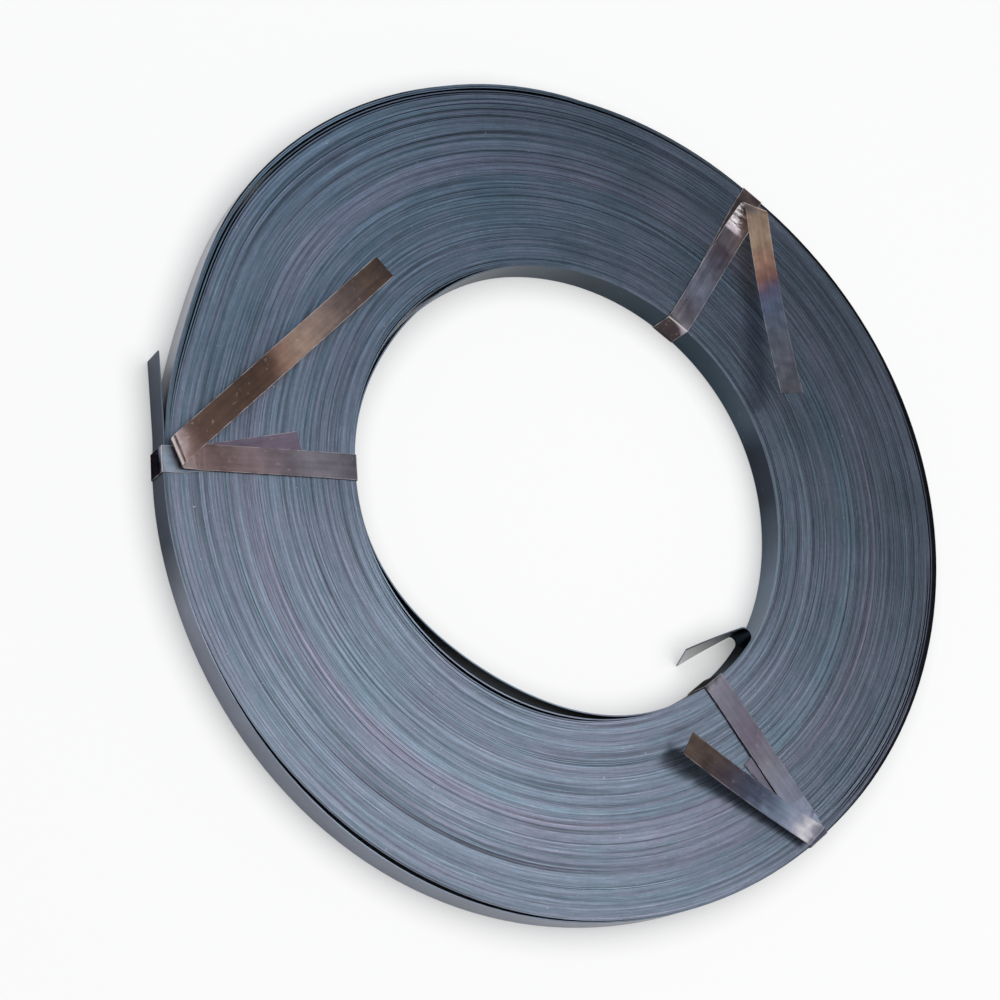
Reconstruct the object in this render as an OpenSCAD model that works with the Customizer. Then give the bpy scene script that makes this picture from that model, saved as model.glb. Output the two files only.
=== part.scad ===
// Coil of blued steel strapping, wound turn on turn and held by three folded ties.
// Millimetres. The coil lies flat on its ties: axis on Z, the floor at z = 0,
// the tie over the strap's outer end on -X.

/* [Strap] */
// Width of the strap, which is the height of the coil
strap_width = 19; // [13:0.5:32]
// Thickness of the strap
strap_gauge = 0.8; // [0.5:0.1:1]

/* [Coil] */
// Diameter over the wound turns
coil_outside = 515; // [480:1:600]
// Diameter of the bore that the winding mandrel left
coil_bore = 282; // [260:1:300]
// Lines between groups of turns, cut into each end face
turn_lines = 24; // [8:1:30]
// Depth of those lines
turn_line_depth = 0.6; // [0.3:0.1:0.8]

/* [Outer end of the strap] */
// Length of the end that stands off past its tie
outer_tail = 52; // [20:1:60]
// How far that end springs away from the round
outer_spring = 4; // [0:0.5:8]
// Gap under the outermost turn where it hangs loose before that end
outer_slack = 2; // [0:0.1:3]
// Gap under the turn that hangs loose past that end
outer_slack_far = 2.4; // [0:0.1:3]

/* [Inner end of the strap] */
// Gap behind the innermost turn on the near side of the bore
inner_slack = 8; // [0:0.1:9]
// Gap behind the innermost turn on the far side of the bore
inner_slack_far = 2.4; // [0:0.1:4]
// Inside radius of the hairpin at the end
hairpin_radius = 4.2; // [3:0.1:7]
// Angle that the hairpin turns back through
hairpin_turn = 152; // [120:1:160]
// Length of the end that comes back from the hairpin
inner_tail = 38; // [20:1:45]

/* [Ties] */
// Width of a tie
tie_width = 15.5; // [10:0.5:19]
// Thickness of a tie
tie_gauge = 0.5; // [0.4:0.1:0.7]
// Inside radius where a tie bends over an edge of the coil
tie_bend = 0.2; // [0.2:0.05:0.5]
// Length of the raised run that leads into a fold
kick_run = 18; // [10:0.5:20]

/* [Tie over the outer end] */
// Swing of the whole tie off the radial line
first_swing = 1.1; // [-4:0.1:4]
// Length of the end underneath, from the rim in
first_under = 84; // [45:1:85]
// Sideways crook in that end
first_crook = -13; // [-20:1:20]
// Sideways turn of the leg where it leaves the bore
first_turn = 1.8; // [-4:0.1:4]
// Distance from the rim to the fold
first_inset = 9.5; // [6:0.5:30]
// Rise of the leg into the fold
first_kick = 6; // [1:0.5:16]
// Sideways turn of the leg into the fold
first_veer = 0; // [-12:0.5:12]
// Inside radius of the fold
first_roll = 2.3; // [1:0.1:5]
// Angle between the leg and the tail that folds back over it
first_splay = 42.5; // [10:0.5:50]
// Rise of the tail from the fold to its end
first_lift = 0.5; // [0.5:0.5:10]
// Upward bow of the tail
first_bow = 0; // [0:0.5:8]
// Length of the tail
first_tail = 174; // [60:1:180]

/* [Tie in between] */
// Place round the coil
second_place = 54; // [44:0.5:80]
// Swing of the whole tie off the radial line
second_swing = 1; // [-4:0.1:4]
// Length of the end underneath, from the rim in
second_under = 72; // [45:1:85]
// Sideways crook in that end
second_crook = -4; // [-20:1:20]
// Sideways turn of the leg where it leaves the bore
second_turn = 1.7; // [-4:0.1:4]
// Distance from the rim to the fold
second_inset = 17; // [6:0.5:30]
// Rise of the leg into the fold
second_kick = 15; // [4:0.5:16]
// Sideways turn of the leg into the fold
second_veer = 0; // [-12:0.5:12]
// Inside radius of the fold
second_roll = 2.2; // [1.5:0.1:5]
// Angle between the leg and the tail that folds back over it
second_splay = 38; // [10:0.5:50]
// Rise of the tail from the fold to its end
second_lift = 3; // [1:0.5:10]
// Upward bow of the tail
second_bow = 12; // [0:0.5:14]
// Length of the tail
second_tail = 130; // [60:1:170]

/* [Tie over the inner end] */
// Swing of the whole tie off the radial line
third_swing = -1.1; // [-4:0.1:4]
// Length of the end underneath, from the rim in
third_under = 66; // [45:1:85]
// Sideways crook in that end
third_crook = -5; // [-20:1:20]
// Sideways turn of the leg where it leaves the bore
third_turn = -3.2; // [-4:0.1:4]
// Distance from the rim to the fold
third_inset = 6; // [6:0.5:30]
// Rise of the leg into the fold
third_kick = 4; // [1:0.5:16]
// Sideways turn of the leg into the fold
third_veer = -11; // [-12:0.5:12]
// Inside radius of the fold
third_roll = 1; // [1:0.1:5]
// Angle between the leg and the tail that folds back over it
third_splay = 37.5; // [10:0.5:50]
// Rise of the tail from the fold to its end
third_lift = 5; // [4:0.5:10]
// Upward bow of the tail
third_bow = 10; // [0:0.5:11]
// Length of the tail
third_tail = 103; // [60:1:170]

/* [Hidden] */
$fn = 180;

rim = coil_outside / 2;
bore = coil_bore / 2;
depth = rim - bore;
// the loose laps bite this far into the wound turns where they press on them
bite = 0.2;
// clear space between a tie and the walls it passes, and between its own two layers
tie_clear = 0.05;
ply_clear = 0.1;
floor_gap = tie_gauge;
face = floor_gap + strap_width;
// the coil's edges are eased so that the ties' bends sit over them
edge_ease = tie_bend;

// the runs over which a tie crooks, turns and bows
crook_start = 1;
crook_run = 24;
turn_run = 20;
kick_radius = 6;
bow_steps = 8;
bow_radius = 30;

first_place = 180;
third_place = 304.9;
hairpin_place = 321.3;

// Lines in the end faces

line_step = depth / (turn_lines + 1);
line_half = 0.35;

// one half of the section's upper edge, from the bore out, with a notch at each line
face_edge = [for (i = [1 : turn_lines])
    let (r = bore + i * line_step)
    each [[r - line_half, 0], [r, turn_line_depth], [r + line_half, 0]]];

function flip(list) = [for (i = [len(list) - 1 : -1 : 0]) list[i]];

section = concat(
    [[bore, floor_gap + edge_ease], [bore + edge_ease, floor_gap]],
    [for (p = face_edge) [p[0], floor_gap + p[1]]],
    [[rim - edge_ease, floor_gap], [rim, floor_gap + edge_ease]],
    [[rim, face - edge_ease], [rim - edge_ease, face]],
    [for (p = flip(face_edge)) [p[0], face - p[1]]],
    [[bore + edge_ease, face], [bore, face - edge_ease]]);

// Loose laps, drawn as the middle line of the strap seen from above

function polar(r, a) = [r * cos(a), r * sin(a)];
// a gap that opens and closes between two places round the coil
function slack(a, from, to, most) =
    a <= from || a >= to ? 0 : most * pow(sin(180 * (a - from) / (to - from)), 2);
// the point where a straight run of this length ends
function onward(p, heading, length) = p + length * [cos(heading), sin(heading)];

lap_outer = rim + strap_gauge / 2 - bite;
lap_inner = bore - strap_gauge / 2 + bite;

// past the tie the outer end runs straight, and is sprung out a little
outer_leave = first_place - asin((tie_width / 2 + 2) / rim);
outer_lap = concat(
    [for (a = [288 : -3 : first_place + 3])
        polar(lap_outer + slack(a, 196, 276, outer_slack)
            - strap_gauge * max(0, (a - 276) / 12), a)],
    [polar(lap_outer, first_place)],
    [polar(lap_outer, outer_leave)],
    [onward(polar(lap_outer, outer_leave), outer_leave - 90 + outer_spring, outer_tail)]);

// a turn that leaves the round past the outer end and comes back before the next tie
loose_turn = [for (a = [172 : -3 : 70])
    polar(lap_outer + slack(a, 78, 166, outer_slack_far)
        - strap_gauge * max(0, (a - 166) / 8, (78 - a) / 8), a)];

hairpin_mid = hairpin_radius + strap_gauge / 2;
hairpin_start = polar(lap_inner, hairpin_place);
hairpin_heading = hairpin_place + 90;
hairpin_centre = onward(hairpin_start, hairpin_heading + 90, hairpin_mid);
hairpin = [for (i = [1 : 12])
    onward(hairpin_centre, hairpin_heading - 90 + hairpin_turn * i / 12, hairpin_mid)];
inner_lap = concat(
    [for (a = [88 : 3 : hairpin_place - 2])
        polar(lap_inner - slack(a, 100, 172, inner_slack_far) - slack(a, 190, 292, inner_slack)
            + strap_gauge * max(0, (100 - a) / 12), a)],
    [hairpin_start],
    hairpin,
    [onward(hairpin[11], hairpin_heading + hairpin_turn, inner_tail)]);

// Directions across a run of points, for setting its two sides off

function unit(v) = v / norm(v);
function run_at(line, i) =
    unit(line[min(i + 1, len(line) - 1)] - line[max(i - 1, 0)]);
function side(line, off) = [for (i = [0 : len(line) - 1])
    let (d = run_at(line, i))
    line[i] + off * [-d[1], d[0]]];

module lap(line) {
    translate([0, 0, floor_gap + edge_ease])
        linear_extrude(strap_width - 2 * edge_ease)
            polygon(concat(side(line, strap_gauge / 2), flip(side(line, -strap_gauge / 2))));
}

// The coil: every turn as one turned solid, with the two loose ends of the strap

module coil() {
    color([0.30, 0.35, 0.41]) {
        rotate_extrude()
            polygon(section);
        lap(outer_lap);
        lap(loose_turn);
        lap(inner_lap);
    }
}

// Ties. A tie is one flat strip, followed from its underneath end to its tail.
// A stance on the strip is [point, heading, left side, face normal].

function ahead(s, length, turn) =
    turn == 0
        ? [s[0] + length * s[1], s[1], s[2], s[3]]
        : let (r = length / (turn * PI / 180))
            [s[0] + r * sin(turn) * s[1] + r * (1 - cos(turn)) * s[2],
             cos(turn) * s[1] + sin(turn) * s[2],
             cos(turn) * s[2] - sin(turn) * s[1],
             s[3]];

// part of a bend about a crease that lies askew on the strip
function bent(s, angle, radius, skew) =
    let (crease = sin(skew) * s[1] + cos(skew) * s[2],
         across = cos(skew) * s[1] - sin(skew) * s[2],
         rolled = radius * abs(angle) * PI / 180,
         up = radius * (1 - cos(angle)) * sign(angle),
         on = cos(angle) * across + sin(angle) * s[3])
    [s[0] + rolled * tan(skew) * crease + radius * sin(abs(angle)) * across + up * s[3],
     cos(skew) * on + sin(skew) * crease,
     cos(skew) * crease - sin(skew) * on,
     cos(angle) * s[3] - sin(angle) * across];

// the strip's four corners on a line laid askew across it
function corners(s, skew) =
    let (line = (sin(skew) * s[1] + cos(skew) * s[2]) * tie_width / 2 / cos(skew),
         thick = s[3] * tie_gauge / 2)
    [s[0] - line - thick, s[0] + line - thick, s[0] + line + thick, s[0] - line + thick];

// a step is [length, turn in its own plane, bend at its end, bend radius, skew of the crease]
function strip(steps, s, i = 0) =
    i == len(steps) ? [] :
    let (m = steps[i],
         curve = m[1] == 0 ? 0 : 6,
         fold = m[2] == 0 ? 0 : max(6, ceil(abs(m[2]) / 12)),
         near = ahead(s, m[0], m[1]))
    concat(
        [for (k = [1 : 1 : curve - 1]) corners(ahead(s, m[0] * k / curve, m[1] * k / curve), 0)],
        [for (k = [0 : fold])
            corners(bent(near, fold == 0 ? 0 : m[2] * k / fold, m[3], m[4]), m[4])],
        strip(steps, bent(near, m[2], m[3], m[4]), i + 1));

module strip_solid(lines) {
    last = 4 * (len(lines) - 1);
    polyhedron(
        points = [for (l = lines) each l],
        faces = concat(
            [[0, 1, 2], [0, 2, 3], [last + 2, last + 1, last], [last + 3, last + 2, last]],
            [for (i = [0 : 4 : last - 4], k = [0 : 3])
                let (a = i + k, b = i + (k + 1) % 4)
                each [[a, a + 4, b + 4], [a, b + 4, b]]]));
}

// over = laps of strap under the tie at the rim, within = laps under it in the bore
module tie(over, within, swing, under_end, crook, turn, inset, kick, veer, roll, splay,
        lift, bow, tail) {
    half = tie_gauge / 2;
    round_mid = tie_bend + half;
    roll_mid = roll + half;
    low = half;
    under = face + half;
    top = under + tie_gauge + ply_clear;
    lap_rise = strap_gauge - bite;
    wall_out = rim + over * lap_rise + tie_clear + half;
    bore_here = bore - within * lap_rise;
    // how far to the side the strip's edge comes where it lines the round bore
    edge_out = tie_width / 2 + (depth / 2 + strap_width + 2) * tan(abs(swing));
    wall_in = sqrt(bore_here * bore_here - edge_out * edge_out) - tie_clear - half;
    drop = under - low - 2 * round_mid;
    span = wall_out - wall_in - 2 * round_mid;
    climb = top - low - 2 * round_mid;
    leg = rim - inset - roll_mid - wall_in - round_mid;
    // where the strip meets the rim, and from there back to the tip of the end underneath
    over_rim = [[wall_out - round_mid, (span / 2 + drop + PI * round_mid) * tan(swing), under],
        [cos(swing), -sin(swing), 0], [sin(swing), cos(swing), 0], [0, 0, 1]];
    straight = under_end - crook_start - crook_run;
    crooked = ahead(over_rim, -crook_start, 0);
    start = ahead(ahead(crooked, -crook_run, -crook), -straight, 0);
    // the tail is bent up a little at a time, and leaves the fold lower by half of its bow
    bow_bend = bow / bow_steps;
    bow_length = tail / (bow_steps + 1) - bow_radius * bow_bend * PI / 180;
    leave = lift - bow / 2;
    strip_solid(concat([corners(start, 0)], strip(concat([
        [straight, 0, 0, 0, 0],
        [crook_run, crook, 0, 0, 0],
        [crook_start, 0, -90, round_mid, -swing],
        [drop / cos(swing), 0, -90, round_mid, -swing],
        [span / cos(swing), 0, -90, round_mid, -swing],
        [climb / cos(swing), 0, -90, round_mid, -swing],
        [turn_run, turn, 0, 0, 0],
        [leg / cos(swing) - turn_run - kick_run, 0, kick, kick_radius, 0],
        [kick_run, veer, 180 - leave - kick, roll_mid, -splay / 2]],
        [for (k = [1 : bow_steps]) [bow_length, 0, -bow_bend, bow_radius, 0]],
        [[tail / (bow_steps + 1), 0, 0, 0, 0]]), start)));
}

module tie_first() {
    color([0.40, 0.33, 0.28])
        rotate([0, 0, first_place])
            tie(1, 1, first_swing, first_under, first_crook, first_turn, first_inset, first_kick,
                first_veer, first_roll, first_splay, first_lift, first_bow, first_tail);
}

module tie_second() {
    color([0.47, 0.40, 0.34])
        rotate([0, 0, second_place])
            tie(0, 0, second_swing, second_under, second_crook, second_turn, second_inset, second_kick,
                second_veer, second_roll, second_splay, second_lift, second_bow, second_tail);
}

module tie_third() {
    color([0.38, 0.36, 0.40])
        rotate([0, 0, third_place])
            tie(0, 1, third_swing, third_under, third_crook, third_turn, third_inset, third_kick,
                third_veer, third_roll, third_splay, third_lift, third_bow, third_tail);
}

coil();
tie_first();
tie_second();
tie_third();
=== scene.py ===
import bpy
import math
import numpy as np
from mathutils import Matrix, Vector


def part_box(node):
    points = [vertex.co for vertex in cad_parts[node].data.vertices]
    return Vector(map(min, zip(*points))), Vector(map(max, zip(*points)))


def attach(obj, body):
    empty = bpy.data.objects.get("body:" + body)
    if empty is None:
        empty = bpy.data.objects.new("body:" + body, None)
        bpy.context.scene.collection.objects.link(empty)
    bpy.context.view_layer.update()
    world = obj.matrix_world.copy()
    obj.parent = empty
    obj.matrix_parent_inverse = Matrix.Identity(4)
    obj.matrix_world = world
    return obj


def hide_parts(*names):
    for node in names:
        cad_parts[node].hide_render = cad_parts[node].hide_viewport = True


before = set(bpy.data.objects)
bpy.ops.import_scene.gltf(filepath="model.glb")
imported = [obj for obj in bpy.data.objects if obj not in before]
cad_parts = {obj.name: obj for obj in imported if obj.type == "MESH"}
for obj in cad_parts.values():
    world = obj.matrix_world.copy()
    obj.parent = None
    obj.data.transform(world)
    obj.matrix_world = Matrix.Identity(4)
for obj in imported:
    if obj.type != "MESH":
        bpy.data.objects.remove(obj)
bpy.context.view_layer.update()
scene = bpy.context.scene
scene.view_settings.view_transform = "Standard"

mm = 0.001
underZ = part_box("coil")[0][2] / mm    # the coil's lower and upper faces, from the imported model
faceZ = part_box("coil")[1][2] / mm
print("frame loaded, coil from z", round(underZ, 3), "to", round(faceZ, 3), "mm")


# shader helpers

def paint(red, green, blue):          # a colour as seen on screen, turned into light values
    parts = [c / 255 for c in (red, green, blue)]
    return tuple(c / 12.92 if c < 0.04045 else ((c + 0.055) / 1.055) ** 2.4 for c in parts) + (1,)


def put(tree, kind, inputs=None, **settings):
    made = tree.nodes.new("ShaderNode" + kind)
    for key, value in settings.items():
        setattr(made, key, value)
    for key, value in (inputs or {}).items():
        if isinstance(value, bpy.types.NodeSocket):
            tree.links.new(value, made.inputs[key])
        else:
            made.inputs[key].default_value = value
    return made


def sums(tree, how, a, b=0.0):
    return put(tree, "Math", {0: a, 1: b}, operation=how).outputs[0]


def times(tree, a, b):
    return sums(tree, "MULTIPLY", a, b)


def stretch(tree, value, low, high, toLow=0.0, toHigh=1.0):
    inputs = {"Value": value, "From Min": low, "From Max": high, "To Min": toLow, "To Max": toHigh}
    return put(tree, "MapRange", inputs).outputs[0]


def noise(tree, vector, scale, detail, roughness=0.5, distortion=0.0):
    inputs = {"Vector": vector, "Scale": scale, "Detail": detail,
              "Roughness": roughness, "Distortion": distortion}
    return put(tree, "TexNoise", inputs).outputs[0]


def vary(tree, pattern, toLow, toHigh):
    usualLow, usualHigh = 0.3, 0.7    # most of a noise lies between these
    return stretch(tree, pattern, usualLow, usualHigh, toLow, toHigh)


def scaled(tree, vector, scale):
    return put(tree, "Mapping", {"Vector": vector, "Scale": scale}).outputs[0]


def shaded(tree, value, colour):
    return put(tree, "HueSaturation", {"Value": value, "Color": colour}).outputs[0]


def blendColours(tree, share, a, b):
    return put(tree, "Mix", {0: share, 6: a, 7: b}, data_type="RGBA").outputs[2]


def ramp(tree, value, stops):
    made = put(tree, "ValToRGB", {0: value})
    marks = made.color_ramp.elements
    while len(marks) < len(stops):
        marks.new(0.5)
    for mark, (place, colour) in zip(marks, stops):
        mark.position = place
        mark.color = colour
    return made.outputs[0]


def readLayer(tree, name):
    return put(tree, "Attribute", attribute_name=name).outputs["Fac"]


def newMaterial(name):
    material = bpy.data.materials.new(name)
    material.use_nodes = True
    tree = material.node_tree
    return material, tree, tree.nodes["Principled BSDF"]


# mesh from rings of points: every ring has its upper row and then its lower row, read back

sharpFrom = 24                        # degrees between faces


def ringMesh(name, rings, layers, materials, pick=None):
    count, around = rings.shape[:2]
    start = np.arange(count - 1)[:, None] * around
    here = np.arange(around)[None, :]
    after = (here + 1) % around
    quads = np.stack([start + here, start + after, start + around + after, start + around + here], -1)
    column = np.broadcast_to(here, (count - 1, around)).reshape(-1)
    quads = quads.reshape(-1, 4)
    k = np.arange(around // 2 - 1)
    lid = np.stack([k, around - 1 - k, around - 2 - k, k + 1], -1)
    quads = np.concatenate([quads, lid, lid[:, ::-1] + (count - 1) * around])
    points = rings.reshape(-1, 3)
    corner = points[quads]
    volume = np.einsum("ij,ij->i", corner[:, 0], np.cross(corner[:, 1], corner[:, 2])).sum()
    volume += np.einsum("ij,ij->i", corner[:, 0], np.cross(corner[:, 2], corner[:, 3])).sum()
    if volume < 0:
        quads = quads[:, ::-1]
    mesh = bpy.data.meshes.new(name)
    mesh.vertices.add(len(points))
    mesh.vertices.foreach_set("co", (points * mm).astype(np.float32).ravel())
    mesh.loops.add(quads.size)
    mesh.loops.foreach_set("vertex_index", quads.astype(np.int32).ravel())
    mesh.polygons.add(len(quads))
    mesh.polygons.foreach_set("loop_start", np.arange(0, quads.size, 4, dtype=np.int32))
    for material in materials:
        mesh.materials.append(material)
    if pick is not None:
        slots = np.concatenate([np.array(pick)[column], np.full(2 * len(lid), pick[0])])
        mesh.polygons.foreach_set("material_index", slots.astype(np.int32))
    mesh.polygons.foreach_set("use_smooth", np.ones(len(quads), dtype=bool))
    mesh.update(calc_edges=True)
    for layer, values in layers.items():
        values = np.asarray(values, dtype=np.float32)
        if values.ndim == 1:
            values = np.repeat(values[:, None], around, 1)
        mesh.attributes.new(layer, "FLOAT", "POINT").data.foreach_set("value", values.ravel())
    mesh.set_sharp_from_angle(angle=math.radians(sharpFrom))
    piece = bpy.data.objects.new(name, mesh)
    scene.collection.objects.link(piece)
    return piece


# the wound strap

coil = {
    "rim": 257.2, "bore": 141.0,                      # mean radii, mm
    "play": 0.2,                                      # the last and first turns lie past them by this
    "gauge": 0.79, "width": 18.66, "trim": 0.02,
    "turns": 138, "around": 168, "lastSteps": 67,     # whole turns, points in each, points in the last part
    "lobes": 2.0, "lobesAt": 58,                      # the three ties pull the rim in
    "dents": [(160, 14, -5.4), (232, 28, -1.2)],      # place, spread, depth at the rim
    "swells": [(57, 40, -1.5), (130, 25, 1.2), (322, 26, 3.2)],    # the same in the bore
    "gapSize": (0.1, 5), "gapWaves": (1, 4), "gapSwing": 0.8,      # between the turns
    # how unevenly the edges of the turns stand and lean
    "ragged": 0.1, "raggedBlur": 5, "raggedShares": (0.7, 0.4), "raggedMost": 0.15,
    "tilt": 0.035, "tiltMost": 0.2,
    # start, stop, gap, bluntness and how much of the gap each turn keeps, from the loosest on
    "looseInside": [(190, 292, 8.2, 2, (1, 0.26, 0.05)), (98, 174, 3.0, 2, (1, 0.3, 0.08))],
    "looseOutside": [(194, 282, 2.2, 2, (1, 0.1)),
                     (84, 176, 3.2, 0.6, (1, 0.95, 0.88, 0.45, 0.12)),
                     (57, 104, 1.5, 0.7, (1, 1, 0.95, 0.05)),
                     (-50, 52, 1.0, 0.6, (1, 0.62, 0.4, 0.2, 0.08))],
    # painted shade: laps taken to have sunk a little, painted black as if in shadow: lap from the outer end,
    # start, stop
    "paintedRimShade": [(0, -62, 78), (1, -54, 60), (2, -30, 24), (4, -53, 18),
                (6, -52, -6), (9, -52, -14), (0, 106, 150)],
    # painted shade lines: some turns' edges painted dark, as in the gaps between the looser turns
    "lineLevel": 0.75, "lineDark": 0.75,              # dark lines, more of them towards the rim
    "lineGrowth": (8, 5.2), "lineShares": (0.22, 1),
    "rimHighlight": (118, 172), "paleLaps": 2,             # painted highlight on the outer wall between these
    "shadeDrift": (0.13, 0.24), "tintDrift": (0.1, 0.24),
    # painted light: where the lines of the turns show less and more, as light rakes them on one side: place,
    # spread, share
    "lively": [(5, 35, -0.38), (132, 22, 0.45)],
    # heat stains: share of the turns, spread, place, spread
    "violet": [(0.58, 0.055, 122, 42), (0.52, 0.04, 236, 28)], "violetTint": 0.7,
    # the inner end's hairpin and the leg that runs back from it
    "hairpinAt": 321.3, "hairpinRadius": 4.6, "hairpinTurn": 152, "hairpinSteps": 18,
    "backLeg": 42.5, "backLean": 20, "earlyLean": 0.25, "backBow": 2,
    "spring": 4, "tail": 52, "endSteps": 12,          # the outer end
    # painted shade over the inner end's hairpin, and points it fades over into the first turn; the outer end
    # darker: points of its start and run there, and how dark there
    "hairpinShadeFade": 24, "lateFade": 5, "lateRun": 6, "lateDark": 0.7,
    "seed": 23,
}


def swell(angle, at, spread):
    away = (angle - at + 180) % 360 - 180
    return np.exp(-(away / spread) ** 2)


def rimAt(angle):
    radius = coil["rim"] - coil["lobes"] * np.cos(np.radians(3 * (angle - coil["lobesAt"])))
    return radius + sum(depth * swell(angle, at, spread) for at, spread, depth in coil["dents"])


def boreAt(angle):
    return coil["bore"] + sum(depth * swell(angle, at, spread) for at, spread, depth in coil["swells"])


def hump(angle, start, stop, power):
    share = np.minimum((angle - start) % 360 / (stop - start), 1)
    return np.abs(np.sin(np.pi * share)) ** power


def loosened(angle, lap, runs):
    gap = 0
    for start, stop, most, power, shares in runs:
        kept = np.array(shares + (0,))[np.minimum(lap, len(shares))]
        gap = gap + most * kept * hump(angle, start, stop, power)
    return gap


dice = np.random.default_rng(coil["seed"])


def windStrap():
    around, turns = coil["around"], coil["turns"]
    i = np.arange(turns * around + coil["lastSteps"] + 1)
    turn, at = i // around, i % around
    part = at / around
    wound = i / around
    last = wound[-1]
    angle = coil["hairpinAt"] - 360 * wound
    # gaps between the turns open and close along the way
    knots = turns + 2
    ringAngle = np.radians(angle[:around])
    gap = dice.exponential(1, knots).clip(*coil["gapSize"])
    waves, phase = dice.integers(*coil["gapWaves"], knots), dice.uniform(0, 2 * np.pi, knots)
    gaps = gap[:, None] * (1 + coil["gapSwing"] * np.sin(waves[:, None] * ringAngle + phase[:, None]))
    heap = np.zeros_like(gaps)
    heap[1:] = np.cumsum((gaps[:-1] + gaps[1:]) / 2, axis=0)

    def opened(turn, part):
        growth = gaps[turn + 1, at] - gaps[turn, at]
        return heap[turn, at] + part * gaps[turn, at] + part ** 2 / 2 * growth

    inner, outer = boreAt(angle) - coil["play"], rimAt(angle) + coil["play"]
    spare = outer - inner - coil["gauge"] * last
    allOpened = opened(turns, coil["lastSteps"] / around)
    radius = inner + coil["gauge"] * wound + spare * opened(turn, part) / allOpened
    radius = radius - loosened(angle, wound.astype(int), coil["looseInside"])
    radius = radius + loosened(angle, (last - wound).astype(int), coil["looseOutside"])
    return wound, angle, radius


def alongTurns(wound, spread, blur=0, often=3):    # an uneven value that drifts from turn to turn
    knots = dice.normal(0, spread, int(wound[-1]) * often + 2 * often)
    if blur:
        knots = np.convolve(knots, np.ones(blur) / blur ** 0.5, "same")
    return np.interp(wound * often, np.arange(len(knots)), knots)


wound, angle, radius = windStrap()


def onward(point, heading, length):
    return point + length * np.array([math.cos(math.radians(heading)), math.sin(math.radians(heading))])


def strapEnds():
    axis, steps = np.zeros(2), coil["endSteps"]
    fullLean, early = np.radians(coil["backLean"]), coil["earlyLean"]
    first = onward(axis, angle[0], radius[0])
    middle = onward(first, angle[0] + 180, coil["hairpinRadius"])
    turned = np.linspace(0, coil["hairpinTurn"], coil["hairpinSteps"])[1:]
    inside = [onward(middle, angle[0] + a, coil["hairpinRadius"]) for a in turned]
    lean = list(fullLean * early * (turned / coil["hairpinTurn"]) ** 3)
    back = angle[0] + 90 + coil["hairpinTurn"]
    shares = np.linspace(0, 1, steps + 1)[1:]
    for share in shares:
        bow = coil["backBow"] * (2 * share - 1)
        inside.append(onward(inside[-1], back + bow, coil["backLeg"] / steps))
        lean.append(fullLean * (early + (1 - early) * share))
    leave = angle[-1]
    outside = [onward(axis, leave, radius[-1])]
    for share in shares:
        sprung = coil["spring"] * min(1, 4 * share)
        outside.append(onward(outside[-1], leave - 90 + sprung, coil["tail"] / steps))
    return np.array(inside[::-1]), np.array(lean[::-1]), np.array(outside[1:])


def strapRings(line, turnNo, lean):
    way = np.gradient(line, axis=0)
    way /= np.linalg.norm(way, axis=1)[:, None]
    left = np.stack([-way[:, 1], way[:, 0], np.zeros(len(line))], -1)
    up = np.array([0, 0, 1.0])
    across = np.cos(lean)[:, None] * up + np.sin(lean)[:, None] * left
    thick = np.cos(lean)[:, None] * left - np.sin(lean)[:, None] * up
    sharp, soft = coil["raggedShares"]
    rise = alongTurns(turnNo, coil["ragged"]) * sharp
    rise = rise + alongTurns(turnNo, coil["ragged"], coil["raggedBlur"]) * soft
    rise = np.clip(rise, -coil["raggedMost"], coil["raggedMost"])
    slope = np.clip(alongTurns(turnNo, coil["tilt"]), -coil["tiltMost"], coil["tiltMost"])
    tip = (slope * coil["gauge"] / 2)[:, None] * across
    centre = np.concatenate([line, ((underZ + faceZ) / 2 + rise)[:, None]], -1)
    side = coil["gauge"] / 2 * thick
    high = across * (coil["width"] / 2 - coil["trim"])
    return np.stack([centre + high + side - tip, centre + high - side + tip,
                     centre - high - side - tip, centre - high + side + tip], 1)


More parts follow.
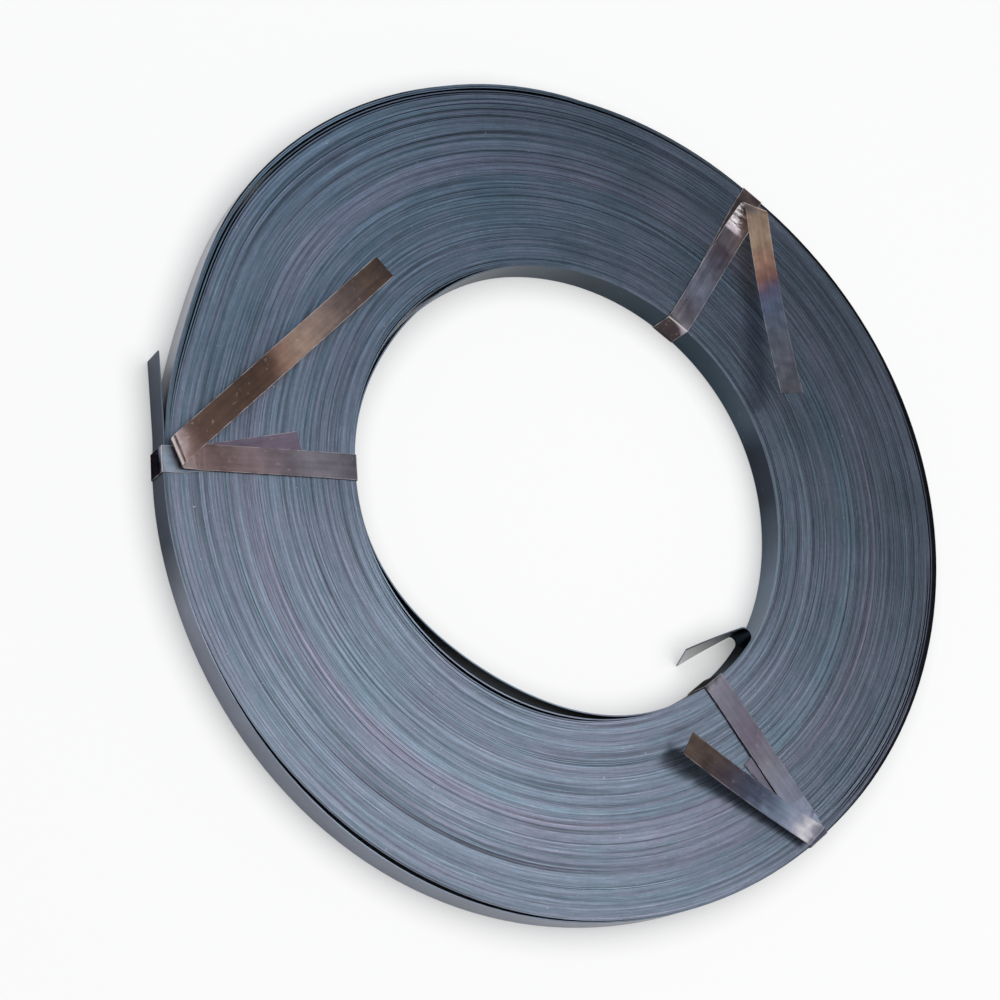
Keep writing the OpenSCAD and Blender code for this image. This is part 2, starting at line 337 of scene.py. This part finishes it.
def strapLayers(line, turnNo, before, behind):
    steps = np.concatenate([[0], np.linalg.norm(np.diff(line, axis=0), axis=1)])
    lineAngle = np.degrees(np.arctan2(line[:, 1], line[:, 0]))
    turnShare = turnNo / wound[-1]
    lap = (wound[-1] - turnNo).astype(int)
    # lines of the turns, light and dark, and their colours
    # painted light: more contrast in the lines where light rakes them, less elsewhere
    lively = 1 + sum(share * swell(lineAngle, at, spread) for at, spread, share in coil["lively"])
    slow, quick = coil["shadeDrift"]
    drift = slow * alongTurns(turnNo, 1) + quick * alongTurns(turnNo, 1, often=24)
    shade = np.clip(0.5 + lively * drift, 0, 1)
    slow, quick = coil["tintDrift"]
    tint = 0.5 + slow * alongTurns(turnNo, 1) + quick * alongTurns(turnNo, 1, often=9)
    for inTurns, turnSpread, at, spread in coil["violet"]:
        stain = np.exp(-((turnShare - inTurns) / turnSpread) ** 2) * swell(lineAngle, at, spread)
        tint = tint + coil["violetTint"] * stain
    # painted shade: laps taken to have sunk painted black, and dark lines painted between the looser turns on
    # the outside
    paintedRimShade = sum((lap == n) * np.clip(3 * hump(lineAngle, start, stop, 1), 0, 1)
                  for n, start, stop in coil["paintedRimShade"])
    growth, away = coil["lineGrowth"]
    lines = coil["lineDark"] * np.clip(alongTurns(turnNo, 1, often=5) - coil["lineLevel"], 0, 1)
    paintedRimShade = paintedRimShade + lines * np.clip(turnShare * growth - away, *coil["lineShares"])
    # the free ends
    # painted shade over the hairpin and the back leg next to it, fading into the first turn; the outer end
    # darker; painted reflection bright at the inner tip
    leg, fade, late, run = coil["endSteps"], coil["hairpinShadeFade"], coil["lateFade"], coil["lateRun"]
    backLeg = np.concatenate([np.linspace(1, 0.25, leg), np.zeros(before - leg)])
    darkEnd = np.concatenate([1 - backLeg, np.linspace(1, 0, fade), np.zeros(len(wound) - fade - late - run),
                              np.linspace(0, coil["lateDark"], late), np.full(run + behind, coil["lateDark"])])
    return {
        "paintedRimShade": paintedRimShade,
        "rimHighlight": (lap < coil["paleLaps"]) * hump(lineAngle, *coil["rimHighlight"], 0.8),
        "boreLap": np.minimum(turnNo / 1.2, 1),
        "turnShare": turnShare,
        "alongStrap": np.cumsum(steps) * mm,
        "turnShade": shade,
        "turnTint": np.clip(tint, 0, 1),
        "darkEnd": darkEnd,
        "paintedTipReflection": np.concatenate([backLeg, np.zeros(len(wound) + behind)]),
    }


def buildCoil():
    inside, endLean, outside = strapEnds()
    spiral = np.stack([radius * np.cos(np.radians(angle)), radius * np.sin(np.radians(angle))], -1)
    line = np.concatenate([inside, spiral, outside])
    before, behind = len(inside), len(outside)
    turnNo = np.concatenate([np.zeros(before), wound, np.full(behind, wound[-1])])
    lean = np.concatenate([endLean, np.zeros(len(line) - before)])
    rings = strapRings(line, turnNo, lean)
    return rings, strapLayers(line, turnNo, before, behind)


def slitEdgeSteel():
    material, tree, steel = newMaterial("slitEdgeSteel")
    blue, teal = paint(126, 138, 155), paint(123, 138, 155)
    violet, slate = paint(132, 138, 156), paint(127, 137, 153)
    hue = ramp(tree, readLayer(tree, "turnShare"), [
        (0, blue), (0.24, blue), (0.4, teal), (0.49, teal), (0.525, violet), (0.595, violet),
        (0.665, slate), (0.78, blue), (0.9, blue), (1, slate)])
    place = put(tree, "TexCoord").outputs["Object"]
    cloud = noise(tree, place, 26, 4, roughness=0.6)
    tint = sums(tree, "ADD", readLayer(tree, "turnTint"), vary(tree, cloud, -0.3, 0.3))
    tints = ramp(tree, tint, [(0.15, paint(108, 140, 154)), (0.85, paint(142, 134, 157))])
    hue = blendColours(tree, 0.3, hue, tints)
    shade = stretch(tree, readLayer(tree, "turnShade"), 0, 1, 0.6, 1.42)
    shade = times(tree, shade, vary(tree, cloud, 0.95, 1.05))
    # worn in dashes along each turn
    along = put(tree, "CombineXYZ", {0: readLayer(tree, "alongStrap")}).outputs[0]
    shade = times(tree, shade, vary(tree, noise(tree, along, 70, 3), 0.82, 1.18))
    grain = noise(tree, place, 420, 1)
    shade = times(tree, shade, vary(tree, grain, 0.95, 1.05))
    hue = shaded(tree, shade, hue)
    # dust and nicks that catch the light
    fleck = noise(tree, place, 460, 1)
    hue = blendColours(tree, stretch(tree, fleck, 0.77, 0.81, 0, 0.75), hue, paint(205, 208, 212))
    # painted shade: black where a lap sank a little, and dark lines between the looser turns
    hue = blendColours(tree, times(tree, readLayer(tree, "paintedRimShade"), 0.93), hue, paint(12, 13, 17))
    tree.links.new(hue, steel.inputs["Base Color"])
    steel.inputs["Metallic"].default_value = 0.85
    rough = sums(tree, "ADD", vary(tree, cloud, 0.3, 0.37), vary(tree, grain, -0.02, 0.02))
    tree.links.new(rough, steel.inputs["Roughness"])
    dent = put(tree, "Bump", {"Height": grain, "Strength": 0.04, "Distance": 0.0003}).outputs[0]
    tree.links.new(dent, steel.inputs["Normal"])
    return material


def rolledFaceSteel(name, layer, stops, glint):
    material, tree, steel = newMaterial(name)
    share = readLayer(tree, layer)
    along = readLayer(tree, "alongStrap")
    place = put(tree, "TexCoord").outputs["Object"]
    height = put(tree, "SeparateXYZ", {0: place}).outputs[2]
    hue = ramp(tree, share, [(part, paint(*colour)) for part, colour in stops])
    sheet = put(tree, "CombineXYZ", {0: along, 1: height}).outputs[0]
    cloud = noise(tree, sheet, 34, 5, roughness=0.6)
    lines = noise(tree, scaled(tree, sheet, (6, 1900, 1)), 1, 3)
    hue = shaded(tree, times(tree, vary(tree, cloud, 0.84, 1.14), vary(tree, lines, 0.93, 1.07)), hue)
    # painted highlight on the outer wall of the outer laps
    hue = blendColours(tree, readLayer(tree, "rimHighlight"), hue, paint(172, 174, 181))
    # scuffs where the strap was dragged
    scuff = noise(tree, scaled(tree, sheet, (60, 700, 1)), 1, 2, distortion=0.4)
    hue = blendColours(tree, stretch(tree, scuff, 0.7, 0.8, 0, 0.4), hue, paint(168, 170, 176))
    # painted shade over the inner end's hairpin and the back leg next to it, and the outer end darker towards
    # its tip; painted reflection bright at the inner tip
    dark = readLayer(tree, "darkEnd")
    hue = blendColours(tree, times(tree, dark, 0.8), hue, paint(46, 52, 58))
    hue = blendColours(tree, readLayer(tree, "paintedTipReflection"), hue, paint(196, 196, 194))
    tree.links.new(hue, steel.inputs["Base Color"])
    # how bright it still is seen flat along the surface
    glint = ramp(tree, share, [(part, (level, level, level, 1)) for part, level in glint])
    # less glint under the painted shade of the ends
    glint = blendColours(tree, dark, glint, (0.2, 0.22, 0.25, 1))
    tree.links.new(glint, steel.inputs["Specular Tint"])
    steel.inputs["Metallic"].default_value = 0.9
    rough = stretch(tree, sums(tree, "ADD", cloud, scuff), 0.6, 1.4, 0.29, 0.4)
    tree.links.new(rough, steel.inputs["Roughness"])
    dent = put(tree, "Bump", {"Height": lines, "Strength": 0.12, "Distance": 0.0002}).outputs[0]
    tree.links.new(dent, steel.inputs["Normal"])
    return material


coilRings, coilLayers = buildCoil()
# the walls' colour: darker on the inner laps, lighter on the outermost
wallTones = [(0, (54, 66, 72)), (0.96, (100, 104, 113)), (1, (112, 119, 134))]
# lighter and darker bands run along the first lap in the bore
boreBands = [(0, (50, 62, 68)), (0.53, (57, 70, 82)), (0.56, (39, 53, 64)), (0.64, (40, 56, 67)),
              (0.69, (61, 75, 88)), (0.71, (31, 40, 53)), (0.74, (32, 41, 54)), (0.79, (87, 102, 119)),
              (0.83, (88, 104, 117)), (0.9, (46, 54, 62)), (1, (40, 46, 52))]
outFace = rolledFaceSteel("strapOutFace", "turnShare", wallTones, [(0, 1)])
inFace = rolledFaceSteel("strapInFace", "boreLap", boreBands, [(0.86, 1), (0.95, 0.1)])
strapCoil = ringMesh("strapCoil", coilRings, coilLayers, [outFace, slitEdgeSteel(), inFace],
                     pick=[1, 2, 1, 0])
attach(strapCoil, "root")
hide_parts("coil")
print("strap wound:", round(wound[-1], 2), "turns,", round(float(coilLayers["alongStrap"][-1]), 1), "m,",
      2 * len(strapCoil.data.polygons), "triangles")


# the ties: a flat strip followed from its lower end to its tail, as point, heading, left side and face

tie = {
    "width": 15.4, "gauge": 0.5, "bend": 0.3,
    "plyGap": 0.1, "seatGap": 0.06,                   # to its own lower end, to the coil
    "seatRim": 2.2, "seatBore": 3.6, "swingArm": 80,  # how far round the seat counts, and in
    "crookStart": 1, "crookRun": 24, "legRun": 20,
    "kickRadius": 8, "bowRadius": 30, "bowSteps": 10,
    "step": 3, "fineStep": 1, "foldStep": 9, "leastFolds": 5,      # mm, mm, degrees
    "knocks": 5, "knockDepth": 0.25,                  # dents across the strip, mm
    "wrungBefore": 11, "wrungReach": (4, 15),         # the crumpled part next to the fold, mm
}


def ahead(s, length, turn=0):
    if not turn:
        return [s[0] + length * s[1], s[1], s[2], s[3]]
    a = math.radians(turn)
    r = length / a
    return [s[0] + r * math.sin(a) * s[1] + r * (1 - math.cos(a)) * s[2],
            math.cos(a) * s[1] + math.sin(a) * s[2], math.cos(a) * s[2] - math.sin(a) * s[1], s[3]]


def bent(s, angle, radius, skew=0):
    a, k = math.radians(angle), math.radians(skew)
    crease = math.sin(k) * s[1] + math.cos(k) * s[2]
    across = math.cos(k) * s[1] - math.sin(k) * s[2]
    on = math.cos(a) * across + math.sin(a) * s[3]
    lift = math.copysign(radius * (1 - math.cos(a)), angle)
    slip = radius * abs(a) * math.tan(k)
    point = s[0] + slip * crease + radius * math.sin(abs(a)) * across + lift * s[3]
    return [point, math.cos(k) * on + math.sin(k) * crease, math.cos(k) * crease - math.sin(k) * on,
            math.cos(a) * s[3] - math.sin(a) * across]


columns = np.array([-1, -0.97, -0.7, -0.35, 0, 0.35, 0.7, 0.97, 1])
columnThick = np.array([0.35, 1, 1, 1, 1, 1, 1, 1, 0.35])


def stripRing(s, skew, dents=0):
    k = math.radians(skew)
    line = (math.sin(k) * s[1] + math.cos(k) * s[2]) * tie["width"] / 2 / math.cos(k)
    spine = s[0] + columns[:, None] * line + (dents * np.ones(len(columns)))[:, None] * s[3]
    rise = (columnThick * tie["gauge"] / 2)[:, None] * s[3]
    return np.concatenate([spine + rise, (spine - rise)[::-1]])


def crumpled(knocks, n, share):       # dents left by the pliers, deepest just before the fold
    low, part = n // 2, n % 2 / 2
    line = (1 - part) * knocks[low] + part * knocks[low + 1]
    return math.sin(math.pi * share ** 2) ** 0.7 * np.interp(columns, np.linspace(-1, 1, len(line)), line)


def followStrip(steps, s):
    rings, along, bendShine = [stripRing(s, 0)], [0.0], [0.0]
    gone = 0.0
    for length, turn, bend, radius, skew, crumple in steps:
        pieces = max(1, int(length / tie["fineStep" if crumple else "step"]))
        knocks = crumple * dice.normal(0, 1, (pieces // 2 + 2, tie["knocks"]))
        for n in range(1, pieces + (0 if bend else 1)):
            share = n / pieces
            here = ahead(s, length * share, turn * share)
            if crumple:
                rings.append(stripRing(here, skew * share, crumpled(knocks, n, share)))
            else:
                rings.append(stripRing(here, 0))
            along.append(gone + length * share)
            bendShine.append(0.0)
        s = ahead(s, length, turn)
        gone += length
        if bend:
            folds = max(tie["leastFolds"], int(abs(bend) / tie["foldStep"]))
            ridge = 3 if abs(bend) > 120 else 0.5     # a fold shines along its ridge, a corner all over
            for n in range(folds + 1):
                rings.append(stripRing(bent(s, bend * n / folds, radius, skew), skew))
                along.append(gone + radius * math.radians(abs(bend)) * n / folds)
                bendShine.append(math.sin(math.pi * n / folds) ** ridge * min(1, abs(bend) / 60))
            s = bent(s, bend, radius, skew)
            gone += radius * math.radians(abs(bend))
    return np.array(rings), np.array(along), np.array(bendShine)


def seatOf(place):                    # the rim and the bore as they are wound under a tie
    near = np.abs((angle - place + 180) % 360 - 180)
    atRim, inBore = near < tie["seatRim"], near < tie["seatBore"]
    return radius[atRim].max() + coil["gauge"] / 2, radius[inBore].min() - coil["gauge"] / 2


def foldTie(t):
    half = tie["gauge"] / 2
    corner, roll = tie["bend"] + half, t["roll"] + half
    rim, bore = seatOf(t["place"])
    swing = math.radians(t["swing"])
    c, skew = math.cos(swing), -t["swing"]
    low, under = half, faceZ + half
    top = under + tie["gauge"] + tie["plyGap"]
    wallOut = rim + tie["seatGap"] + half
    edgeOut = tie["width"] / 2 + tie["swingArm"] * abs(math.tan(swing))
    wallIn = math.sqrt(bore ** 2 - edgeOut ** 2) - tie["seatGap"] - half
    drop, climb = under - low - 2 * corner, top - low - 2 * corner
    span = wallOut - wallIn - 2 * corner
    leg = (rim - t["inset"] - roll - wallIn - corner) / c
    aside = (span / 2 + drop + math.pi * corner) * math.tan(swing)
    overRim = [np.array([wallOut - corner, aside, under]), np.array([c, -math.sin(swing), 0]),
               np.array([math.sin(swing), c, 0]), np.array([0, 0, 1.0])]
    straight = t["under"] - tie["crookStart"] - tie["crookRun"]
    s = ahead(ahead(ahead(overRim, -tie["crookStart"]), -tie["crookRun"], -t["crook"]), -straight)
    back = 180 - t["lift"] - t["kick"] - t["rise"]
    # length, turn, bend, its radius, its skew, dents
    steps = [[straight, 0, 0, 0, 0, 0],
             [tie["crookRun"], t["crook"], 0, 0, 0, 0],
             [tie["crookStart"], 0, -90, corner, skew, 0],
             [drop / c, 0, -90, corner, skew, 0],
             [span / c, 0, -90, corner, skew, 0],
             [climb / c, 0, -90 + t["rise"], corner, skew, 0],
             [tie["legRun"], t["legTurn"], 0, 0, 0, 0],
             [leg - tie["legRun"] - t["kickRun"], 0, t["kick"], tie["kickRadius"], 0, 0],
             [t["kickRun"], t["kickTurn"], back, roll, -t["splay"] / 2, tie["knockDepth"] * t["crumple"]]]
    # the tail bows a little along its length
    bows = tie["bowSteps"]
    arc = tie["bowRadius"] * math.radians(abs(t["bow"])) / bows
    for n in range(bows):
        bow = 0 if n == bows - 1 else t["bow"] / bows
        steps.append([t["tail"] / bows - arc, 0, bow, tie["bowRadius"], 0, 0])
    rings, along, bendShine = followStrip(steps, s)
    a = math.radians(t["place"])
    turned = np.array([[math.cos(a), -math.sin(a), 0], [math.sin(a), math.cos(a), 0], [0, 0, 1]])
    rings = rings @ turned.T
    across = np.broadcast_to(np.concatenate([columns, columns[::-1]]), rings.shape[:2])
    marks = {"rim": t["under"], "legStart": t["under"] + drop + span + climb,
             "foldAt": along[-1] - t["tail"], "end": along[-1]}
    return rings, {"alongTie": along, "acrossTie": across, "bendShineTie": bendShine}, marks


def temperedSteel(name, t, marks):
    material, tree, steel = newMaterial(name)
    along, across = readLayer(tree, "alongTie"), readLayer(tree, "acrossTie")
    sideways = times(tree, across, tie["width"] / 2)
    sheet = put(tree, "CombineXYZ", {0: along, 1: sideways, 2: t["seed"]}).outputs[0]
    drift = stretch(tree, noise(tree, sheet, 0.09, 3), 0.2, 0.8, -t["drift"], t["drift"])
    where = sums(tree, "ADD", along, drift)
    where = sums(tree, "ADD", where, times(tree, across, t["slant"]))
    # heat colours, with painted highlights and painted shade among the stops
    stops = [((marks[part] + offset) / marks["end"], paint(*colour))
             for part, offset, colour in t["colours"]]
    hue = ramp(tree, sums(tree, "DIVIDE", where, marks["end"]), stops)
    # rolling grain along the strip and cloudy oxide
    grain = noise(tree, scaled(tree, sheet, (0.02, 0.45, 1)), 1, 0)
    cloud = noise(tree, sheet, 0.16, 2)
    hue = shaded(tree, times(tree, vary(tree, grain, 0.93, 1.07), vary(tree, cloud, 0.9, 1.1)), hue)
    # bright where the slit edges are worn and in smudges, and painted highlight along the bends
    bendShine = readLayer(tree, "bendShineTie")
    edge = stretch(tree, sums(tree, "ABSOLUTE", across), 0.945, 0.985)
    wornAndLit = times(tree, edge, stretch(tree, cloud, 0.38, 0.6, 0.15, 0.75))
    # painted highlight along the bends
    wornAndLit = sums(tree, "MAXIMUM", wornAndLit, times(tree, bendShine, t["bright"]))
    smudge = noise(tree, sheet, 0.3, 2)
    wornAndLit = sums(tree, "MAXIMUM", wornAndLit, stretch(tree, smudge, 0.64, 0.85, 0, 0.3))
    hue = blendColours(tree, wornAndLit, hue, paint(*t["wornAndLitSteel"]))
    tree.links.new(hue, steel.inputs["Base Color"])
    steel.inputs["Metallic"].default_value = 1
    steel.inputs["Specular Tint"].default_value = (t["glint"], t["glint"], t["glint"], 1)
    rough = sums(tree, "ADD", cloud, times(tree, grain, 0.6))
    rough = stretch(tree, rough, 0.5, 1.1, t["rough"], t["rough"] + 0.09)
    rough = sums(tree, "ADD", rough, times(tree, bendShine, 0.1))
    tree.links.new(rough, steel.inputs["Roughness"])
    dent = put(tree, "Bump", {"Height": cloud, "Strength": 0.12, "Distance": 0.0004}).outputs[0]
    # crumpled by the pliers next to the fold
    away = sums(tree, "ABSOLUTE", sums(tree, "SUBTRACT", along, marks["foldAt"] - tie["wrungBefore"]))
    wrinkle = noise(tree, scaled(tree, sheet, (0.42, 0.16, 1)), 1, 2)
    crumple = stretch(tree, away, *tie["wrungReach"], t["crumple"], 0)
    dent = put(tree, "Bump", {"Height": wrinkle, "Strength": crumple, "Distance": 0.0012,
                              "Normal": dent}).outputs[0]
    tree.links.new(dent, steel.inputs["Normal"])
    return material


def makeTie(name, node, t):
    rings, layers, marks = foldTie(t)
    piece = ringMesh(name, rings, layers, [temperedSteel(name + "Steel", t, marks)])
    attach(piece, "root")
    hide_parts(node)
    print(name, "folded:", round(float(marks["end"]), 1), "mm of strip,",
          2 * len(piece.data.polygons), "triangles")


# over the strap's outer end
bronzeTie = {
    "place": 179.89, "swing": 1.1, "under": 82.4, "crook": -13.3, "legTurn": 1.75, "rise": 0.1,
    "inset": 7.6, "kick": 6, "kickRun": 14, "kickTurn": 0,
    "roll": 2.3, "splay": 42.7, "lift": 0.4, "tail": 174.5, "bow": 0.8,
    "seed": 3.0, "drift": 4, "slant": 2, "bright": 0.8, "rough": 0.29, "glint": 0.28, "crumple": 0.35,
    "wornAndLitSteel": (226, 214, 212),
    # heat colours along the strip, with painted highlights at the bends and along the bowed tail and painted
    # shade on the parts over the walls: from which mark, how far on, colour
    "colours": [("rim", -83, (126, 112, 128)), ("rim", -30, (118, 104, 118)), ("rim", -12, (118, 132, 148)),
                ("rim", 0, (165, 176, 192)), ("rim", 4, (62, 57, 66)), ("legStart", -40, (80, 72, 78)),
                ("legStart", 3, (104, 99, 108)), ("legStart", 30, (138, 131, 139)),
                ("legStart", 44, (119, 108, 115)), ("legStart", 64, (142, 123, 127)),
                ("legStart", 86, (120, 98, 96)), ("legStart", 97, (150, 126, 125)),
                ("foldAt", 0, (190, 170, 168)), ("foldAt", 7, (120, 98, 94)), ("foldAt", 14, (98, 78, 71)),
                ("foldAt", 62, (85, 67, 58)), ("foldAt", 74, (104, 81, 72)), ("foldAt", 85, (162, 128, 113)),
                ("foldAt", 98, (184, 154, 138)), ("foldAt", 118, (158, 134, 124)),
                ("foldAt", 140, (118, 99, 96)), ("end", -14, (112, 90, 79)), ("end", 0, (90, 73, 67))],
}

# between the two
strawTie = {
    "place": 53.83, "swing": 1.05, "under": 70, "crook": -4, "legTurn": 1.67, "rise": 0.4,
    "inset": 14.7, "kick": 15, "kickRun": 18, "kickTurn": 0,
    "roll": 2.2, "splay": 37.9, "lift": -3, "tail": 130, "bow": -13,
    "seed": 8.0, "drift": 5, "slant": -4, "bright": 0.7, "rough": 0.29, "glint": 0.2, "crumple": 0.9,
    "wornAndLitSteel": (232, 226, 222),
    # heat colours with painted highlights and painted shade, as for the first tie
    "colours": [("rim", -70, (130, 122, 128)), ("rim", -14, (120, 106, 104)), ("rim", -5, (158, 136, 132)),
                ("rim", 1, (126, 104, 98)), ("rim", 8, (120, 108, 106)), ("legStart", -40, (78, 70, 72)),
                ("legStart", 0, (80, 72, 74)), ("legStart", 6, (186, 176, 186)),
                ("legStart", 15, (146, 138, 148)), ("legStart", 34, (178, 179, 198)),
                ("legStart", 53, (147, 142, 157)), ("legStart", 70, (138, 121, 131)),
                ("foldAt", -24, (205, 193, 198)), ("foldAt", -12, (235, 228, 230)),
                ("foldAt", -3, (150, 134, 132)), ("foldAt", 5, (235, 197, 167)),
                ("foldAt", 22, (253, 208, 175)), ("foldAt", 36, (242, 184, 156)),
                ("foldAt", 48, (214, 153, 137)), ("foldAt", 58, (152, 141, 172)),
                ("foldAt", 70, (146, 156, 182)), ("foldAt", 84, (148, 151, 165)), ("end", 0, (146, 141, 150))],
}

# over the strap's inner end
plumTie = {
    "place": 304.91, "swing": -1.1, "under": 64.1, "crook": -4.8, "legTurn": -3.15, "rise": 0.5,
    "inset": 3.7, "kick": 4, "kickRun": 22, "kickTurn": -11,
    "roll": 0.9, "splay": 37.4, "lift": 0.3, "tail": 103, "bow": -11,
    "seed": 15.0, "drift": 5, "slant": 2, "bright": 0.45, "rough": 0.29, "glint": 0.12, "crumple": 0.25,
    "wornAndLitSteel": (218, 210, 212),
    # heat colours with painted highlights and painted shade, as for the first tie
    "colours": [("rim", -65, (130, 124, 140)), ("rim", -20, (126, 126, 142)), ("rim", -2, (104, 106, 124)),
                ("rim", 6, (108, 112, 124)), ("legStart", -40, (34, 33, 38)), ("legStart", 2, (42, 40, 46)),
                ("legStart", 7, (146, 142, 156)), ("legStart", 20, (128, 126, 140)),
                ("legStart", 44, (122, 113, 128)), ("legStart", 64, (140, 140, 152)),
                ("legStart", 82, (144, 147, 165)), ("foldAt", -8, (150, 158, 180)),
                ("foldAt", 1, (180, 178, 192)), ("foldAt", 6, (250, 245, 250)),
                ("foldAt", 16, (180, 186, 208)), ("foldAt", 28, (156, 172, 195)),
                ("foldAt", 40, (114, 124, 146)), ("foldAt", 52, (104, 109, 130)),
                ("foldAt", 68, (104, 95, 106)), ("foldAt", 84, (118, 101, 96)), ("end", 0, (136, 116, 106))],
}

makeTie("tieBronze", "tie_first", bronzeTie)
makeTie("tieStraw", "tie_second", strawTie)
makeTie("tiePlum", "tie_third", plumTie)


# floor, light and camera

studio = {
    "floorRadius": 9, "floorPoints": 96,
    "floorColour": (240, 240, 240), "floorGlow": 0.86, "paperGlow": 1.04, "shadowReach": 0.02,
    "horizon": 1.0, "ceiling": 0.11, "ceilingTint": (0.88, 1, 1.16),
    "wallTop": 0.28, "ceilingFrom": 0.62,             # heights in the room's ramp
    # name, place, aim, size, watts, colour
    "lamps": [("softboxOver", (0.22, -0.22, 0.95), (0.22, -0.22, 0), (0.94, 1.0), 3.97, (1, 0.99, 0.98)),
              ("softboxBack", (0.03, 0.74, 0.95), (0.03, 0.74, 0), (0.75, 0.55), 0.97, (0.66, 0.875, 1))],
}


def layFloor():
    bpy.ops.mesh.primitive_circle_add(vertices=studio["floorPoints"], radius=studio["floorRadius"],
                                      fill_type="NGON", location=(0, 0, 0))
    floor = bpy.context.object
    floor.name = "studioFloor"
    material = bpy.data.materials.new("studioPaper")
    material.use_nodes = True
    tree = material.node_tree
    tree.nodes.clear()
    paper = put(tree, "BsdfDiffuse", {"Color": paint(*studio["floorColour"])}).outputs[0]
    glow = put(tree, "Emission", {"Color": (1, 1, 1, 1), "Strength": studio["paperGlow"]}).outputs[0]
    rays = put(tree, "LightPath").outputs
    seen = sums(tree, "MAXIMUM", rays["Is Camera Ray"], rays["Is Glossy Ray"])
    seen = sums(tree, "MAXIMUM", seen, rays["Is Transmission Ray"])
    # dark close to the object, as paper is in its shadow
    lit = put(tree, "AmbientOcclusion", {"Distance": studio["shadowReach"]}, samples=8).outputs["AO"]
    share = times(tree, seen, times(tree, lit, studio["floorGlow"]))
    mixed = put(tree, "MixShader", {0: share, 1: paper, 2: glow}).outputs[0]
    put(tree, "OutputMaterial", {"Surface": mixed})
    floor.data.materials.append(material)


def buildRoom():
    world = bpy.data.worlds.new("studioRoom")
    world.use_nodes = True
    scene.world = world
    tree = world.node_tree
    height = put(tree, "SeparateXYZ", {0: put(tree, "TexCoord").outputs["Generated"]}).outputs[2]
    walls = (studio["horizon"], studio["horizon"], studio["horizon"], 1)
    above = tuple(part * studio["ceiling"] for part in studio["ceilingTint"]) + (1,)
    room = ramp(tree, height, [(0, walls), (studio["wallTop"], walls), (studio["ceilingFrom"], above)])
    tree.links.new(room, tree.nodes["Background"].inputs["Color"])


def hangLamps():
    for name, place, aim, size, watts, colour in studio["lamps"]:
        lamp = bpy.data.lights.new(name, "AREA")
        lamp.shape = "RECTANGLE"
        lamp.size, lamp.size_y = size
        lamp.energy = watts
        lamp.color = colour
        held = bpy.data.objects.new(name, lamp)
        held.location = place
        held.visible_camera = False
        held.rotation_euler = (Vector(aim) - Vector(place)).to_track_quat("-Z", "Y").to_euler()
        scene.collection.objects.link(held)
    print("studio ready:", len(studio["lamps"]), "lamps")


camera = {
    "place": (-0.66976, -0.41550, 1.22256), "aim": (-0.05015, -0.01157, 0.0195),
    "roll": -56.51, "lens": 87.166, "sensor": 36, "clip": (0.05, 50),
}


def buildCamera():
    lens = bpy.data.cameras.new("photoCamera")
    lens.sensor_fit = "HORIZONTAL"
    lens.sensor_width = camera["sensor"]
    lens.lens = camera["lens"]
    lens.clip_start, lens.clip_end = camera["clip"]
    held = bpy.data.objects.new("photoCamera", lens)
    back = (Vector(camera["place"]) - Vector(camera["aim"])).normalized()
    right = Vector((0, 0, 1)).cross(back).normalized()
    up = back.cross(right)
    roll = math.radians(camera["roll"])
    up = math.cos(roll) * up + math.sin(roll) * right
    right = up.cross(back)
    turned = Matrix((right, up, back)).transposed().to_4x4()
    held.matrix_world = Matrix.Translation(camera["place"]) @ turned
    scene.collection.objects.link(held)
    scene.camera = held
    print("camera set")


layFloor()
buildRoom()
hangLamps()
buildCamera()
